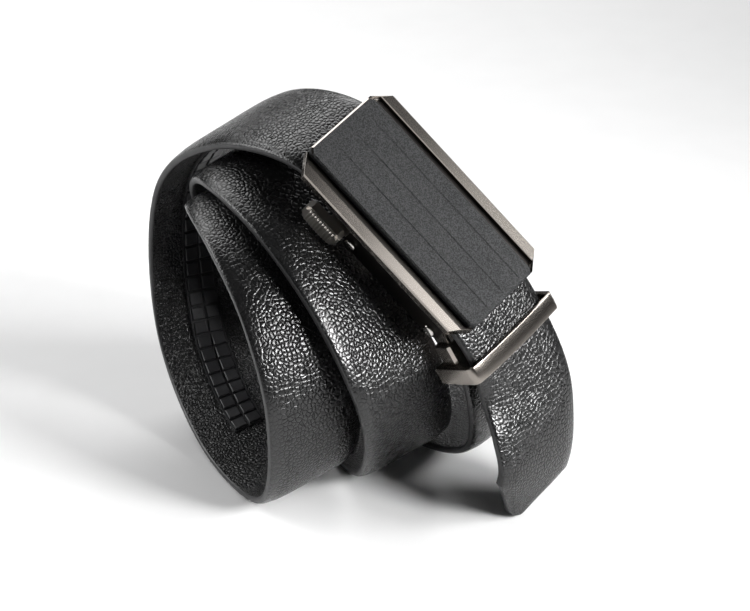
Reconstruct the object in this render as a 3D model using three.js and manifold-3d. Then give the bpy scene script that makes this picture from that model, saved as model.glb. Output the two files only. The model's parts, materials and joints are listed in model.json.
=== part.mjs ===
// A leather belt with a ratchet buckle, fastened and coiled in three leaning turns, lying on a surface.
// Millimetres, +Z up, origin on the surface under the middle of the belt.
import * as THREE from 'three';
import { mergeVertices } from 'three/addons/utils/BufferGeometryUtils.js';
import Module from 'manifold-3d';

const wasm = await Module();
wasm.setup();

const { Vector3, Matrix4 } = THREE;
const radians = THREE.MathUtils.degToRad;

// Gaps between pieces, and how far a cutting shape runs past what it cuts
const seatGap = 0.3;
const slideGap = 0.5;
const cutPast = 1;

// Strap: width, thickness over the padding and at the sides, and the length of the pointed end
const strapWidth = 35;
const strapThickness = 3.8;
const pointLength = 15;
const pointWidth = 5;
const ringsPerStation = 5;
const pointRings = 3;

// Coil: radius of the strap's middle and height of the coil's centre
const coilRadius = 55;
const coilHeight = 57;

// Strap section, as shares of half the width and of the thickness, from the near inner corner round
const strapSection = [
  { across: -0.97, out: -0.5 },
  { across: -0.34, out: -0.5 },
  { across: 0.34, out: -0.5 },
  { across: 0.97, out: -0.5 },
  { across: 1, out: -0.4 },
  { across: 1, out: 0.02 },
  { across: 0.93, out: 0.22 },
  { across: 0.7, out: 0.43 },
  { across: 0.3, out: 0.5 },
  { across: -0.3, out: 0.5 },
  { across: -0.7, out: 0.43 },
  { across: -0.93, out: 0.22 },
  { across: -1, out: 0.02 },
  { across: -1, out: -0.4 },
];

// Coil stations. turn: degrees round the coil from its top, towards the front. reach: share of the coil
// radius. across: share of the strap width along the coil. yaw, lift: degrees the strap's width leans
const coilStations = [
  { turn: 148, reach: 0.85, across: 0.23, yaw: 32, lift: 14 },
  { turn: 195, reach: 1.06, across: -0.10, yaw: 32, lift: 8 },
  { turn: 240, reach: 1.20, across: -0.92, yaw: 24, lift: 28 },
  { turn: 285, reach: 1.12, across: -1.68, yaw: 14, lift: 26 },
  { turn: 330, reach: 0.92, across: -1.88, yaw: 10, lift: 18 },
  { turn: 374, reach: 0.70, across: -1.61, yaw: 20, lift: 5 },
  { turn: 424, reach: 0.64, across: -1.27, yaw: 28, lift: 1 },
  { turn: 465, reach: 0.80, across: -0.95, yaw: 24, lift: 20 },
  { turn: 519, reach: 0.96, across: -0.73, yaw: 20, lift: 9 },
  { turn: 558, reach: 1.03, across: -0.87, yaw: 14, lift: 11 },
  { turn: 602, reach: 1.00, across: -1.15, yaw: 2, lift: 20 },
  { turn: 645, reach: 0.96, across: -1.68, yaw: -2, lift: 20 },
  { turn: 689, reach: 0.74, across: -2.00, yaw: 0, lift: 18 },
  { turn: 733, reach: 0.58, across: -1.97, yaw: 8, lift: 8 },
  { turn: 782, reach: 0.60, across: -1.85, yaw: 16, lift: 9 },
  { turn: 825, reach: 0.76, across: -1.75, yaw: 17, lift: 24 },
  { turn: 870, reach: 1.01, across: -1.73, yaw: 8, lift: 18 },
  { turn: 915, reach: 1.00, across: -1.95, yaw: -2, lift: 14 },
  { turn: 960, reach: 1.24, across: -2.07, yaw: 6, lift: 5 },
  { turn: 1005, reach: 1.28, across: -2.06, yaw: 20, lift: 14 },
  { turn: 1048, reach: 1.13, across: -1.75, yaw: 24, lift: 18 },
];

// Tail stations from the keeper to the tip, in the same columns
const tailStations = [
  { turn: 1187, reach: 0.90, across: 0.20, yaw: 24, lift: 13 },
  { turn: 1198, reach: 1.06, across: 0.25, yaw: 26, lift: 2 },
  { turn: 1208, reach: 1.23, across: 0.25, yaw: 30, lift: -8 },
  { turn: 1218, reach: 1.43, across: 0.06, yaw: 30, lift: -12 },
];

// Buckle pose: its middle as shares of the strap width and coil radius, and its angles
const buckleAcross = -0.665;
const buckleForward = 0.43;
const buckleUp = 0.69;
const buckleHeading = -43;
const buckleDip = 41;
const buckleRoll = 22;

// Face plate, on top of the frame
const plateLength = 75.5;
const plateWidth = 31;
const plateThickness = 2.6;
const plateCorner = 1.6;
const plateBevel = 0.5;

// Frame: a tray with raised rails round the plate and cut corners
const railReach = 6.8;
const railWidth = 4;
const railHeight = 3.2;
const trayThickness = 1.3;
const frameCutAlong = 5;

// Housing: two side walls below the frame and a floor at its clamp end
const wallThickness = 1.6;
const housingDepth = 11.6;
const wallStart = -10.3;
const wallEnd = 32.3;
const floorStart = 9;
const floorEnd = 24;
const floorThickness = 1.4;

// Strap's run through the buckle: how far below the frame it enters and passes, and where it leaves
const inletDrop = 3.5;
const channelDrop = 0.4;
const outletInset = 8;
const clampExit = 3;

// Ratchet track on the strap's inner face, and the stretch of the strap that carries it
const trackWidth = 11;
const trackBase = 0.5;
const toothHeight = 0.9;
const toothPitch = 5.6;
const toothLand = 4.4;
const trackFromTurn = 905;
const trackEndMargin = 4;

// Pins across the housing: place along the buckle and below the strap's middle
const pinRadius = 1.3;
const pinHeadRadius = 2.1;
const pinHeadHeight = 1;
const pinHeadChamfer = 0.5;
const leverPinAlong = -7.6;
const clampPinAlong = 28.8;
const pinDepth = 7;

// Release lever: hub, pawl plate, pawl and the ribbed tab outside the near wall
const hubRadius = 2.7;
const pawlLength = 12;
const leverPlateThickness = 1.6;
const pawlWidth = 12;
const pawlThickness = 2.6;
const tabLength = 15;
const tabHeight = 5.4;
const tabThickness = 3.6;
const tabBow = 1.6;
const tabBowSteps = 8;
const tabChamfer = 1.6;
const armWidth = 6;
const ribPitch = 1.1;
const ribWidth = 0.55;
const ribHeight = 0.4;

// Clamp on the fixed end of the strap, turned on its pin, with the keeper round it
const clampFold = 25;
const clampStart = 7;
const clampLength = 12.5;
const clampWall = 1.3;
const earThickness = 1.5;
const earRadius = 2.9;
const tailLift = 8.4;
const keeperAlong = 17.4;
const keeperWidth = 6;
const keeperWall = 1.8;
const keeperCorner = 1.2;

// Sizes that follow
const halfWidth = strapWidth / 2;
const halfThickness = strapThickness / 2;
const frameBottom = halfThickness + seatGap;
const trayTop = frameBottom + trayThickness;
const plateBottom = trayTop + seatGap;
const frameHalfWidth = plateWidth / 2 + railReach;
const wallInside = halfWidth + slideGap;
const wallOutside = wallInside + wallThickness;
const wallTop = frameBottom - seatGap;
const wallBottom = wallTop - housingDepth;
const clampCavity = halfThickness + seatGap;
const clampTop = clampCavity + clampWall;
const clampHalfWidth = halfWidth + seatGap + clampWall;

// Geometry helpers

function solidOf(geometry) {
  const bare = geometry.clone();
  bare.deleteAttribute('normal');
  bare.deleteAttribute('uv');
  const merged = mergeVertices(bare, 1e-4);
  const mesh = new wasm.Mesh({
    numProp: 3,
    vertProperties: new Float32Array(merged.attributes.position.array),
    triVerts: new Uint32Array(merged.index.array),
  });
  return new wasm.Manifold(mesh);
}

function geometryOf(solid) {
  const mesh = solid.getMesh();
  const geometry = new THREE.BufferGeometry();
  geometry.setAttribute('position', new THREE.BufferAttribute(new Float32Array(mesh.vertProperties), 3));
  geometry.setIndex(new THREE.BufferAttribute(new Uint32Array(mesh.triVerts), 1));
  geometry.computeVertexNormals();
  return geometry;
}

function box(x0, x1, y0, y1, z0, z1) {
  const geometry = new THREE.BoxGeometry(x1 - x0, y1 - y0, z1 - z0);
  geometry.translate((x0 + x1) / 2, (y0 + y1) / 2, (z0 + z1) / 2);
  return geometry;
}

// A cylinder along the buckle's width
function rod(radius, y0, y1, x, z, sides = 20) {
  const geometry = new THREE.CylinderGeometry(radius, radius, y1 - y0, sides);
  geometry.translate(x, (y0 + y1) / 2, z);
  return geometry;
}

// A flat shape in the XY plane pulled up from z0 to z1
function prism(points, z0, z1, bevel = 0) {
  const shape = new THREE.Shape(points.map(([x, y]) => new THREE.Vector2(x, y)));
  const geometry = new THREE.ExtrudeGeometry(shape, {
    depth: z1 - z0 - 2 * bevel,
    bevelEnabled: bevel > 0,
    bevelThickness: bevel,
    bevelSize: bevel,
    bevelOffset: -bevel,
    bevelSegments: 1,
  });
  geometry.translate(0, 0, z0 + bevel);
  return geometry;
}

// A rectangle with cut corners
function cutRectangle(halfLength, halfSide, cutAlong, cutAcross) {
  return [
    [-halfLength, -halfSide + cutAcross], [-halfLength + cutAlong, -halfSide],
    [halfLength - cutAlong, -halfSide], [halfLength, -halfSide + cutAcross],
    [halfLength, halfSide - cutAcross], [halfLength - cutAlong, halfSide],
    [-halfLength + cutAlong, halfSide], [-halfLength, halfSide - cutAcross],
  ];
}

// A closed skin through rings of equally many points, with flat ends
function loft(rings) {
  const count = rings[0].length;
  const positions = rings.flat().flatMap((p) => [p.x, p.y, p.z]);
  const triangles = [];
  for (let i = 0; i + 1 < rings.length; i += 1) {
    for (let j = 0; j < count; j += 1) {
      const a = i * count + j;
      const b = i * count + ((j + 1) % count);
      triangles.push(a, b, a + count, b, b + count, a + count);
    }
  }
  const last = (rings.length - 1) * count;
  for (let j = 1; j + 1 < count; j += 1) {
    triangles.push(0, j + 1, j, last, last + j, last + j + 1);
  }
  const geometry = new THREE.BufferGeometry();
  geometry.setAttribute('position', new THREE.Float32BufferAttribute(positions, 3));
  geometry.setIndex(triangles);
  if (signedVolume(geometry) < 0) {
    geometry.setIndex(triangles.map((v, k) => triangles[k - (k % 3) + [0, 2, 1][k % 3]]));
  }
  geometry.computeVertexNormals();
  return geometry;
}

function signedVolume(geometry) {
  const corner = (k) => new Vector3().fromBufferAttribute(geometry.attributes.position, geometry.index.getX(k));
  let volume = 0;
  for (let k = 0; k < geometry.index.count; k += 3) {
    volume += corner(k).dot(corner(k + 1).cross(corner(k + 2))) / 6;
  }
  return volume;
}

// Materials

const finish = (color, roughness, metalness) => new THREE.MeshStandardMaterial({ color, roughness, metalness });
const leather = finish(0x1b1b1c, 0.5, 0);
const trackPlastic = finish(0x141415, 0.45, 0);
const plateMetal = finish(0x3b3b3e, 0.55, 0.7);
const gunmetal = finish(0x6f6862, 0.22, 1);
const darkMetal = finish(0x2a2624, 0.35, 0.9);
const pinMetal = finish(0xb0aba4, 0.2, 1);

// Buckle frame of reference: X from inlet to outlet, Y across to the far side, Z out of the plate

const buckleMatrix = new Matrix4().makeRotationFromEuler(
  new THREE.Euler(radians(buckleRoll), radians(buckleDip), radians(buckleHeading), 'ZYX'),
);
buckleMatrix.setPosition(
  buckleAcross * strapWidth,
  -buckleForward * coilRadius,
  coilHeight + buckleUp * coilRadius,
);

// Clamp frame of reference: on its pin, X towards the strap's fixed end
const clampMatrix = new Matrix4().makeRotationY(radians(clampFold));
clampMatrix.setPosition(clampPinAlong, 0, -pinDepth);
const clampInBelt = buckleMatrix.clone().multiply(clampMatrix);

// Strap path: stations become a near and a far edge point, joined by smooth curves

function edgesAt(middle, widthAxis, width = strapWidth) {
  return {
    near: middle.clone().addScaledVector(widthAxis, -width / 2),
    far: middle.clone().addScaledVector(widthAxis, width / 2),
  };
}

function leanAxis({ yaw, lift }) {
  const flat = Math.cos(radians(lift));
  return new Vector3(flat * Math.cos(radians(yaw)), flat * Math.sin(radians(yaw)), Math.sin(radians(lift)));
}

function stationMiddle({ turn, reach, across }) {
  const angle = radians(turn);
  return new Vector3(
    across * strapWidth,
    -reach * coilRadius * Math.sin(angle),
    coilHeight + reach * coilRadius * Math.cos(angle),
  );
}

function straightStation(matrix, x, z) {
  const widthAxis = new Vector3(0, 1, 0).transformDirection(matrix);
  return edgesAt(new Vector3(x, 0, z).applyMatrix4(matrix), widthAxis);
}

function bentStations(rows) {
  const middles = rows.map(stationMiddle);
  return rows.map((row, i) => {
    const before = middles[Math.max(i - 1, 0)];
    const after = middles[Math.min(i + 1, rows.length - 1)];
    const tangent = after.clone().sub(before).normalize();
    const lean = leanAxis(row);
    lean.addScaledVector(tangent, -lean.dot(tangent)).normalize();
    return edgesAt(middles[i], lean);
  });
}

const clampedStations = [
  straightStation(clampInBelt, clampStart + clampWall + seatGap, 0),
  straightStation(clampInBelt, clampStart + clampLength - clampExit, 0),
  straightStation(clampInBelt, clampStart + clampLength + clampExit, 0),
];
const buckleStations = [
  straightStation(buckleMatrix, -plateLength / 2, -inletDrop),
  straightStation(buckleMatrix, -plateLength / 4, -channelDrop),
  straightStation(buckleMatrix, plateLength / 8, -channelDrop),
  straightStation(buckleMatrix, plateLength / 2 - outletInset, -channelDrop),
  straightStation(clampInBelt, keeperAlong, tailLift),
];
const stations = [
  ...clampedStations,
  ...bentStations(coilStations),
  ...buckleStations,
  ...bentStations(tailStations),
];
const nearCurve = new THREE.CatmullRomCurve3(stations.map((s) => s.near), false, 'centripetal');
const farCurve = new THREE.CatmullRomCurve3(stations.map((s) => s.far), false, 'centripetal');

// The strap's place, width direction and outward direction at a share of its stations
function strapFrame(share) {
  const near = nearCurve.getPoint(share);
  const far = farCurve.getPoint(share);
  const middle = near.clone().add(far).multiplyScalar(0.5);
  const widthAxis = far.clone().sub(near).normalize();
  const tangent = nearCurve.getTangent(share).add(farCurve.getTangent(share)).normalize();
  tangent.addScaledVector(widthAxis, -tangent.dot(widthAxis)).normalize();
  const outward = new Vector3().crossVectors(tangent, widthAxis);
  return { middle, widthAxis, tangent, outward };
}

// The strap's rings: even steps from station to station, then the pointed end
const sampleShares = Array.from(
  { length: (stations.length - 1) * ringsPerStation + 1 },
  (_, i) => i / ((stations.length - 1) * ringsPerStation),
);

function lengthsAlong(shares) {
  let run = 0;
  return shares.map((share, i) => {
    if (i > 0) run += strapFrame(share).middle.distanceTo(strapFrame(shares[i - 1]).middle);
    return run;
  });
}

function pointedShares() {
  const runs = lengthsAlong(sampleShares);
  const shoulder = runs[runs.length - 1] - pointLength;
  const k = runs.findIndex((run) => run > shoulder);
  const part = (shoulder - runs[k - 1]) / (runs[k] - runs[k - 1]);
  const start = sampleShares[k - 1] + part * (sampleShares[k] - sampleShares[k - 1]);
  const kept = sampleShares.slice(0, part > 0.5 ? k : k - 1);
  const point = Array.from({ length: pointRings + 1 }, (_, i) => start + (1 - start) * (i / pointRings));
  return [...kept, ...point];
}

const ringShares = pointedShares();
const ringFrames = ringShares.map(strapFrame);
const ringRuns = lengthsAlong(ringShares);
const strapLength = ringRuns[ringRuns.length - 1];

function widthAt(run) {
  const left = Math.min(1, (strapLength - run) / (strapLength - ringRuns[ringRuns.length - 1 - pointRings]));
  return pointWidth + (strapWidth - pointWidth) * left;
}

function offsetPoint(frame, across, out) {
  return frame.middle.clone()
    .addScaledVector(frame.widthAxis, across)
    .addScaledVector(frame.outward, out);
}

function buildStrap() {
  return loft(ringFrames.map((frame, i) => strapSection.map(
    ({ across, out }) => offsetPoint(frame, across * widthAt(ringRuns[i]) / 2, out * strapThickness),
  )));
}

// Track: teeth at an even pitch along the strap's inner face, on the same facets

function pointOnStrap(run, across, out) {
  const k = Math.min(ringRuns.length - 1, Math.max(1, ringRuns.findIndex((r) => r >= run)));
  const part = (run - ringRuns[k - 1]) / (ringRuns[k] - ringRuns[k - 1]);
  return offsetPoint(ringFrames[k - 1], across, out).lerp(offsetPoint(ringFrames[k], across, out), part);
}

function buildTrack() {
  const firstStation = clampedStations.length + coilStations.findIndex((s) => s.turn > trackFromTurn);
  const start = ringRuns[firstStation * ringsPerStation];
  const seat = -halfThickness - seatGap;
  const ring = (run, height) => [
    pointOnStrap(run, -trackWidth / 2, seat), pointOnStrap(run, trackWidth / 2, seat),
    pointOnStrap(run, trackWidth / 2, seat - height), pointOnStrap(run, -trackWidth / 2, seat - height),
  ];
  const rings = [];
  const slope = (toothPitch - toothLand) / 4;
  const teeth = Math.floor((strapLength - pointLength - trackEndMargin - start) / toothPitch);
  for (let k = 0; k < teeth; k += 1) {
    const run = start + k * toothPitch;
    rings.push(ring(run + slope, trackBase));
    rings.push(ring(run + slope * 2, trackBase + toothHeight));
    rings.push(ring(run + toothLand, trackBase + toothHeight));
    rings.push(ring(run + toothLand + slope, trackBase));
  }
  return loft(rings);
}

// Face plate

function buildPlate() {
  const outline = cutRectangle(plateLength / 2, plateWidth / 2, plateCorner, plateCorner);
  return prism(outline, plateBottom, plateBottom + plateThickness, plateBevel);
}

// Frame

function buildFrame() {
  const outer = cutRectangle(plateLength / 2, frameHalfWidth, frameCutAlong, railReach);
  const inner = cutRectangle(plateLength / 2, frameHalfWidth - railWidth, frameCutAlong / 2, railReach / 2);
  const tray = solidOf(prism(outer, frameBottom, frameBottom + railHeight, plateBevel));
  const pocket = solidOf(prism(inner, trayTop, trayTop + railHeight));
  const plateRoom = solidOf(box(
    -plateLength, plateLength,
    -plateWidth / 2 - seatGap, plateWidth / 2 + seatGap,
    trayTop, trayTop + railHeight,
  ));
  return geometryOf(tray.subtract(pocket).subtract(plateRoom));
}

// Housing

function buildHousing() {
  const wall = (side) => solidOf(box(
    wallStart, wallEnd,
    side > 0 ? wallInside : -wallOutside,
    side > 0 ? wallOutside : -wallInside,
    wallBottom, wallTop,
  ));
  const floor = solidOf(box(
    floorStart, floorEnd, -wallInside - wallThickness / 2, wallInside + wallThickness / 2,
    wallBottom, wallBottom + floorThickness,
  ));
  let housing = wall(1).add(wall(-1)).add(floor);
  for (const along of [leverPinAlong, clampPinAlong]) {
    housing = housing.subtract(solidOf(
      rod(pinRadius + seatGap, -wallOutside - cutPast, wallOutside + cutPast, along, -pinDepth),
    ));
  }
  return geometryOf(housing);
}

// A pin with a head outside each wall
function buildPin(along) {
  const inner = wallOutside + seatGap;
  const outer = inner + pinHeadHeight;
  const profile = [
    [0, -outer], [pinHeadRadius - pinHeadChamfer, -outer],
    [pinHeadRadius, -outer + pinHeadChamfer], [pinHeadRadius, -inner],
    [pinRadius, -inner], [pinRadius, inner],
    [pinHeadRadius, inner], [pinHeadRadius, outer - pinHeadChamfer],
    [pinHeadRadius - pinHeadChamfer, outer], [0, outer],
  ];
  const geometry = new THREE.LatheGeometry(profile.map(([x, y]) => new THREE.Vector2(x, y)), 16);
  geometry.translate(along, 0, -pinDepth);
  return geometry;
}

// Release lever, built about its pin

function buildLever() {
  const hubEnd = wallInside - slideGap;
  const plateTop = -hubRadius + leverPlateThickness;
  const trackFace = pinDepth - channelDrop - halfThickness - seatGap - trackBase - toothHeight;
  const tabNear = -wallOutside - tabThickness;
  const tabFar = -wallOutside + wallThickness / 2;
  const tabEnd = wallStart - leverPinAlong - slideGap;
  const tabStart = tabEnd - tabLength;
  const tabTop = tabHeight - hubRadius;
  const armStart = tabStart + tabLength / 2;
  const hub = solidOf(rod(hubRadius, -hubEnd, hubEnd, 0, 0));
  const plate = solidOf(box(-hubRadius, pawlLength, -hubEnd, hubEnd, -hubRadius, plateTop));
  const pawl = solidOf(box(
    pawlLength - pawlThickness, pawlLength, -pawlWidth / 2, pawlWidth / 2, -hubRadius, trackFace - slideGap,
  ));
  const armInside = solidOf(box(armStart, 0, -hubEnd, -hubEnd + armWidth, -hubRadius, plateTop));
  const armOutside = solidOf(box(
    armStart, tabEnd, tabNear + tabThickness / 2, -hubEnd + armWidth, -hubRadius, plateTop,
  ));
  const bow = Array.from({ length: tabBowSteps + 1 }, (_, i) => {
    const turn = (i / tabBowSteps) * Math.PI;
    return [tabStart + (1 - Math.cos(turn)) * tabLength / 2, -hubRadius - Math.sin(turn) * tabBow];
  });
  const outline = [
    ...bow,
    [tabEnd, tabTop - tabChamfer], [tabEnd - tabChamfer, tabTop],
    [tabStart + tabChamfer, tabTop], [tabStart, tabTop - tabChamfer],
  ];
  const tab = prism(outline, -tabFar, -tabNear);
  tab.rotateX(Math.PI / 2);
  let lever = hub.add(plate).add(pawl).add(armInside).add(armOutside).add(solidOf(tab));
  const ribs = Math.floor((tabLength - 2 * tabChamfer) / ribPitch);
  const ribStart = (tabStart + tabEnd) / 2 - (ribs - 1) * ribPitch / 2;
  for (let i = 0; i < ribs; i += 1) {
    const x = ribStart + i * ribPitch;
    lever = lever.add(solidOf(box(
      x - ribWidth / 2, x + ribWidth / 2, tabNear - ribHeight, tabNear + ribHeight,
      -hubRadius, tabTop - tabChamfer / 2,
    )));
  }
  lever = lever.subtract(solidOf(rod(pinRadius + seatGap, -hubEnd - cutPast, hubEnd + cutPast, 0, 0)));
  const geometry = geometryOf(lever);
  geometry.translate(leverPinAlong, 0, -pinDepth);
  return geometry;
}

// Clamp, built about its pin: a box open towards the strap, with two ears on the pin

function buildClamp() {
  const end = clampStart + clampLength;
  const shell = solidOf(box(clampStart, end, -clampHalfWidth, clampHalfWidth, -clampTop, clampTop));
  const cavity = solidOf(box(
    clampStart + clampWall, end + cutPast,
    -halfWidth - seatGap, halfWidth + seatGap,
    -clampCavity, clampCavity,
  ));
  let clamp = shell.subtract(cavity);
  for (const side of [-1, 1]) {
    const outer = side * (wallInside - seatGap);
    const inner = side * (wallInside - seatGap - earThickness);
    const [y0, y1] = [Math.min(outer, inner), Math.max(outer, inner)];
    const ear = solidOf(rod(earRadius, y0, y1, 0, 0)).add(solidOf(box(
      0, clampStart + clampWall / 2, y0, y1, -earRadius, earRadius,
    )));
    clamp = clamp.add(ear);
  }
  clamp = clamp.subtract(solidOf(rod(pinRadius + seatGap, -wallInside - cutPast, wallInside + cutPast, 0, 0)));
  return geometryOf(clamp);
}

// Keeper: a loop round the clamp and the free end of the strap

function buildKeeper() {
  const inside = clampHalfWidth + seatGap;
  const bottom = -clampTop - seatGap;
  const top = tailLift + halfThickness + slideGap;
  const side = inside + keeperWall;
  const outline = [
    [-side, bottom - keeperWall], [side, bottom - keeperWall],
    [side, top], [side - keeperCorner, top + keeperWall],
    [-side + keeperCorner, top + keeperWall], [-side, top],
  ];
  const shape = new THREE.Shape(outline.map(([x, y]) => new THREE.Vector2(x, y)));
  shape.holes.push(new THREE.Path([
    [-inside, bottom], [-inside, top], [inside, top], [inside, bottom],
  ].map(([x, y]) => new THREE.Vector2(x, y))));
  const geometry = new THREE.ExtrudeGeometry(shape, { depth: keeperWidth, bevelEnabled: false });
  geometry.rotateX(Math.PI / 2);
  geometry.rotateZ(Math.PI / 2);
  geometry.translate(keeperAlong - keeperWidth / 2, 0, 0);
  return geometry;
}

// Assembly

function named(name, geometry, material) {
  const mesh = new THREE.Mesh(geometry, material);
  mesh.name = name;
  return mesh;
}

const clampGroup = new THREE.Group();
clampGroup.applyMatrix4(clampMatrix);
clampGroup.add(
  named('clamp', buildClamp(), darkMetal),
  named('keeper', buildKeeper(), gunmetal),
);

const buckle = new THREE.Group();
buckle.applyMatrix4(buckleMatrix);
buckle.add(
  named('face_plate', buildPlate(), plateMetal),
  named('buckle_frame', buildFrame(), gunmetal),
  named('housing', buildHousing(), darkMetal),
  named('release_lever', buildLever(), gunmetal),
  named('lever_pin', buildPin(leverPinAlong), pinMetal),
  named('clamp_pin', buildPin(clampPinAlong), pinMetal),
  clampGroup,
);

const belt = new THREE.Group();
belt.add(
  named('strap', buildStrap(), leather),
  named('ratchet_track', buildTrack(), trackPlastic),
  buckle,
);

// Set the belt on the surface, with the origin under its middle
belt.updateMatrixWorld(true);
const bounds = new THREE.Box3().setFromObject(belt, true);
const middle = bounds.getCenter(new Vector3());
belt.position.set(-middle.x, -middle.y, -bounds.min.z);

export default belt;
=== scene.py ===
import json
import math

import bmesh
import bpy
import numpy as np
from mathutils import Matrix, Vector


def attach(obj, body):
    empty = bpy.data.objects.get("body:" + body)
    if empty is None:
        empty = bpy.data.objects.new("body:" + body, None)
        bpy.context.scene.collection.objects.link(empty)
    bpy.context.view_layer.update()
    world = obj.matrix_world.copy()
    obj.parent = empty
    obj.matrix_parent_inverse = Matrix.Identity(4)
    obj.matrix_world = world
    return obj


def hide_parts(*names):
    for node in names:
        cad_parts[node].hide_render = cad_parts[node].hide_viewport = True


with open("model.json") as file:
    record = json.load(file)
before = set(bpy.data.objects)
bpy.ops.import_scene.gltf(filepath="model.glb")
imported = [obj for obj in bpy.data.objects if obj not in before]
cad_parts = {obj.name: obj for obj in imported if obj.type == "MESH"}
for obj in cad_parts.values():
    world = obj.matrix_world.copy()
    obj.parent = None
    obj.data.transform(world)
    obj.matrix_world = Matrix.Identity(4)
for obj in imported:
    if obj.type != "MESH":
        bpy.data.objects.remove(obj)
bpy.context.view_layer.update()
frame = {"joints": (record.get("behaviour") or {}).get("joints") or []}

scene = bpy.context.scene


# Studio
# The belt stands on a pale paper floor. The camera looks down on its front from the left, as a shopper
# would at a counter, and large soft lamps stand round it.

mm = 0.001
look_at = Vector((0.1, -19.3, 62.1)) * mm
camera_right = Vector((0.9563, -0.2924, 0.0))
camera_up = Vector((0.1373, 0.4490, 0.8829))
camera_back = Vector((-0.2581, -0.8444, 0.4695))
camera_distance = 900 * mm

camera_data = bpy.data.cameras.new("camera")
camera_data.sensor_width = 36
camera_data.lens = 133.9
camera_data.clip_start = 10 * mm
camera = bpy.data.objects.new("camera", camera_data)
scene.collection.objects.link(camera)
pose = Matrix((camera_right, camera_up, camera_back)).transposed().to_4x4()
pose.translation = look_at + camera_back * camera_distance
camera.matrix_world = pose
scene.camera = camera
scene.view_settings.view_transform = "Standard"


def new_material(name):
    material = bpy.data.materials.new(name)
    material.use_nodes = True
    tree = material.node_tree
    return material, tree, next(n for n in tree.nodes if n.type == "BSDF_PRINCIPLED")


def feed(tree, socket, value):
    """Gives a socket a value, or the output of another node to follow."""
    if isinstance(value, bpy.types.NodeSocket):
        tree.links.new(value, socket)
    else:
        socket.default_value = value


def node(tree, kind, inputs, **settings):
    made = tree.nodes.new("ShaderNode" + kind)
    for name, value in settings.items():
        setattr(made, name, value)
    for name, value in inputs.items():
        feed(tree, made.inputs[name], value)
    return made


def colour_between(tree, share, first, second):
    colours = [c if isinstance(c, bpy.types.NodeSocket) else (*c, 1) for c in (first, second)]
    return node(tree, "MixRGB", {"Fac": share, "Color1": colours[0], "Color2": colours[1]}).outputs["Color"]


paper, tree, shader = new_material("floor paper")
shader.inputs["Roughness"].default_value = 0.9
fibre = node(tree, "TexNoise", {"Scale": 300})
paper_colour = colour_between(tree, fibre.outputs["Fac"], (0.90, 0.90, 0.90), (0.94, 0.94, 0.94))
feed(tree, shader.inputs["Base Color"], paper_colour)

floor_mesh = bpy.data.meshes.new("floor")
reach = 3000 * mm
floor_mesh.from_pydata(
    [(-reach, -reach, 0), (reach, -reach, 0), (reach, reach, 0), (-reach, reach, 0)], [], [(0, 1, 2, 3)]
)
floor_mesh.materials.append(paper)
floor = bpy.data.objects.new("floor", floor_mesh)
scene.collection.objects.link(floor)

world = bpy.data.worlds.new("studio")
scene.world = world
world.use_nodes = True
world.node_tree.nodes["Background"].inputs["Color"].default_value = (0.80, 0.82, 0.85, 1)
world.node_tree.nodes["Background"].inputs["Strength"].default_value = 0.015

# Lamps: name, place round the belt, width and height in metres, watts, degrees that its light spreads
lamps = [
    ("key", (0.67, -0.36, 0.44), (0.32, 0.22), 0.42, 50),
    ("key left", (0.47, -0.63, 0.40), (0.26, 0.26), 0.88, 50),
    ("rail", (0.58, -0.44, 0.62), (0.45, 0.30), 0.8, 180),
    ("top", (0.10, 1.02, 0.88), (1.20, 0.75), 11.0, 180),
    ("back left", (-0.85, 0.50, 0.55), (0.70, 0.70), 8.0, 180),
    ("left", (-0.62, -0.80, 0.12), (0.30, 0.30), 0.3, 180),
]
for name, place, (width, height), watts, spread in lamps:
    lamp_data = bpy.data.lights.new(name, "AREA")
    lamp_data.shape = "RECTANGLE"
    lamp_data.size = width
    lamp_data.size_y = height
    lamp_data.energy = watts
    lamp_data.spread = math.radians(spread)
    lamp = bpy.data.objects.new(name, lamp_data)
    scene.collection.objects.link(lamp)
    lamp.location = look_at + Vector(place)
    lamp.rotation_euler = (-Vector(place)).to_track_quat("-Z", "Y").to_euler()


# Strap
# One padded strap of black pebbled cowhide, 35 mm wide, crowned on its face, with thinner painted edges
# and a grained lining. It runs from the clamp round three leaning turns and through the buckle to its
# pointed end.

strap_width = 35 * mm
strap_thickness = 3.8 * mm
point_length = 15 * mm
point_width = 5 * mm
point_rings = 24
tip_round = 1.2 * mm
ring_step = 1.5 * mm

coil_radius = 55 * mm
coil_height = 57 * mm

# turn: degrees round the coil from its top, towards the front. reach: share of the coil radius. across:
# share of the strap width along the coil. yaw, lift: degrees the strap's width leans
coil_rows = [
    (148, 0.85, 0.23, 32, 14), (195, 1.06, -0.10, 32, 8), (240, 1.20, -0.92, 24, 28),
    (285, 1.12, -1.68, 14, 26), (330, 0.92, -1.88, 10, 18), (374, 0.70, -1.61, 20, 5),
    (424, 0.64, -1.27, 28, 1), (465, 0.80, -0.95, 24, 20), (519, 0.96, -0.73, 20, 9),
    (558, 1.03, -0.87, 14, 11), (602, 1.00, -1.15, 2, 20), (645, 0.96, -1.68, -2, 20),
    (689, 0.74, -2.00, 0, 18), (733, 0.58, -1.97, 8, 8), (782, 0.60, -1.85, 16, 9),
    (825, 0.76, -1.75, 17, 24), (870, 1.01, -1.73, 8, 18), (915, 1.00, -1.95, -2, 14),
    (960, 1.24, -2.07, 6, 5), (1005, 1.28, -2.06, 20, 14), (1048, 1.13, -1.75, 24, 18),
]
tail_rows = [
    (1187, 0.90, 0.20, 24, 13), (1198, 1.06, 0.25, 26, 2), (1208, 1.23, 0.25, 30, -8),
    (1218, 1.43, 0.06, 30, -12),
]

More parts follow.
